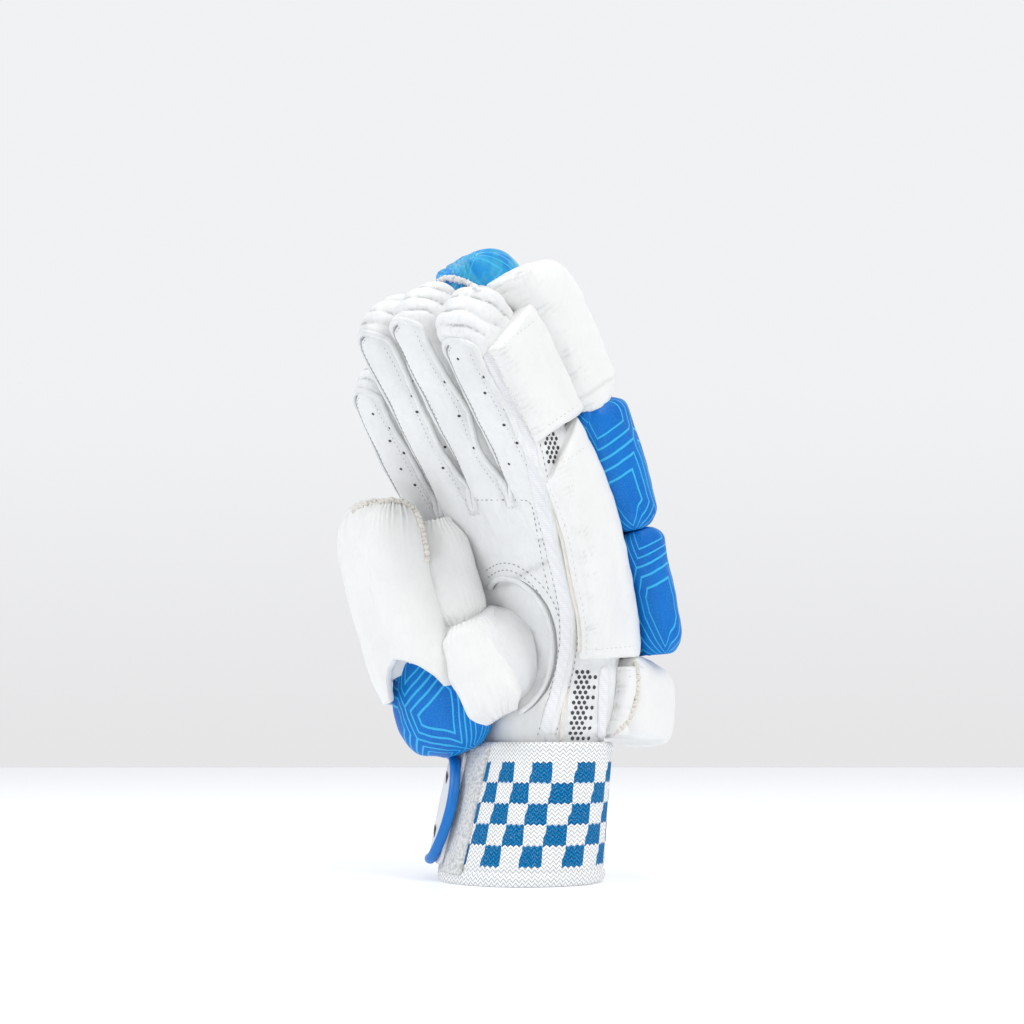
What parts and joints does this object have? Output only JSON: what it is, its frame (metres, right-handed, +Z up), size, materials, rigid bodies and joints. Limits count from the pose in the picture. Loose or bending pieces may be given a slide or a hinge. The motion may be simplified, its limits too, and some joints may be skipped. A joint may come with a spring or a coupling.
{
  "type": "cricket batting glove",
  "caption": "Left-hand cricket batting glove in white leather with blue padded rolls, armoured thumb and checked knitted cuff, standing upright on its cuff.",
  "frame": {"origin": "middle of the outline, on the floor the cuff stands on", "axes": "+Z up from cuff to fingertips, the palm faces -Y, the back of the hand +Y, the thumb is on the -X side"},
  "size_m": [0.1108, 0.135, 0.2669],
  "materials": {
    "knit": "white knitted cotton with a blue check",
    "loop_fabric": "fuzzy loops",
    "webbing": "woven strap",
    "blue_rubber": "smooth moulded",
    "white_plastic": "satin",
    "palm_leather": "soft fine-grained",
    "white_fabric_leather": "soft, with mesh at the wrist",
    "padded_leather": "smooth coated",
    "blue_leather": "printed, fine-grained"
  },
  "bodies": {
    "root": {"cuff": "knit", "loop_patch": "loop_fabric", "wrist_strap": "webbing", "strap_tab_rim": "blue_rubber", "strap_tab": "white_plastic", "palm_leather": "palm_leather", "hand_back": "white_fabric_leather", "thumb_leather": "palm_leather", "thumb_shell": "padded_leather", "thumb_base_guard": "blue_leather", "thumb_inner_pad_lower": "padded_leather", "thumb_inner_pad_upper": "padded_leather", "index_roll_1": "blue_leather", "index_roll_2": "blue_leather", "index_roll_3": "blue_leather", "middle_roll_1": "blue_leather", "middle_roll_2": "blue_leather", "middle_roll_3": "blue_leather", "ring_roll_1": "blue_leather", "ring_roll_2": "blue_leather", "ring_roll_3": "blue_leather", "little_roll_1": "blue_leather", "little_roll_2": "padded_leather", "back_pad_lower_1": "blue_leather", "back_pad_lower_2": "blue_leather", "back_pad_lower_3": "blue_leather", "back_pad_lower_4": "blue_leather", "back_pad_upper_1": "blue_leather", "back_pad_upper_2": "blue_leather", "back_pad_upper_3": "blue_leather", "back_pad_upper_4": "blue_leather", "wrist_pad": "padded_leather", "wrist_wing": "padded_leather", "side_panel": "padded_leather", "little_side_guard": "padded_leather"}
  },
  "joints": []
}
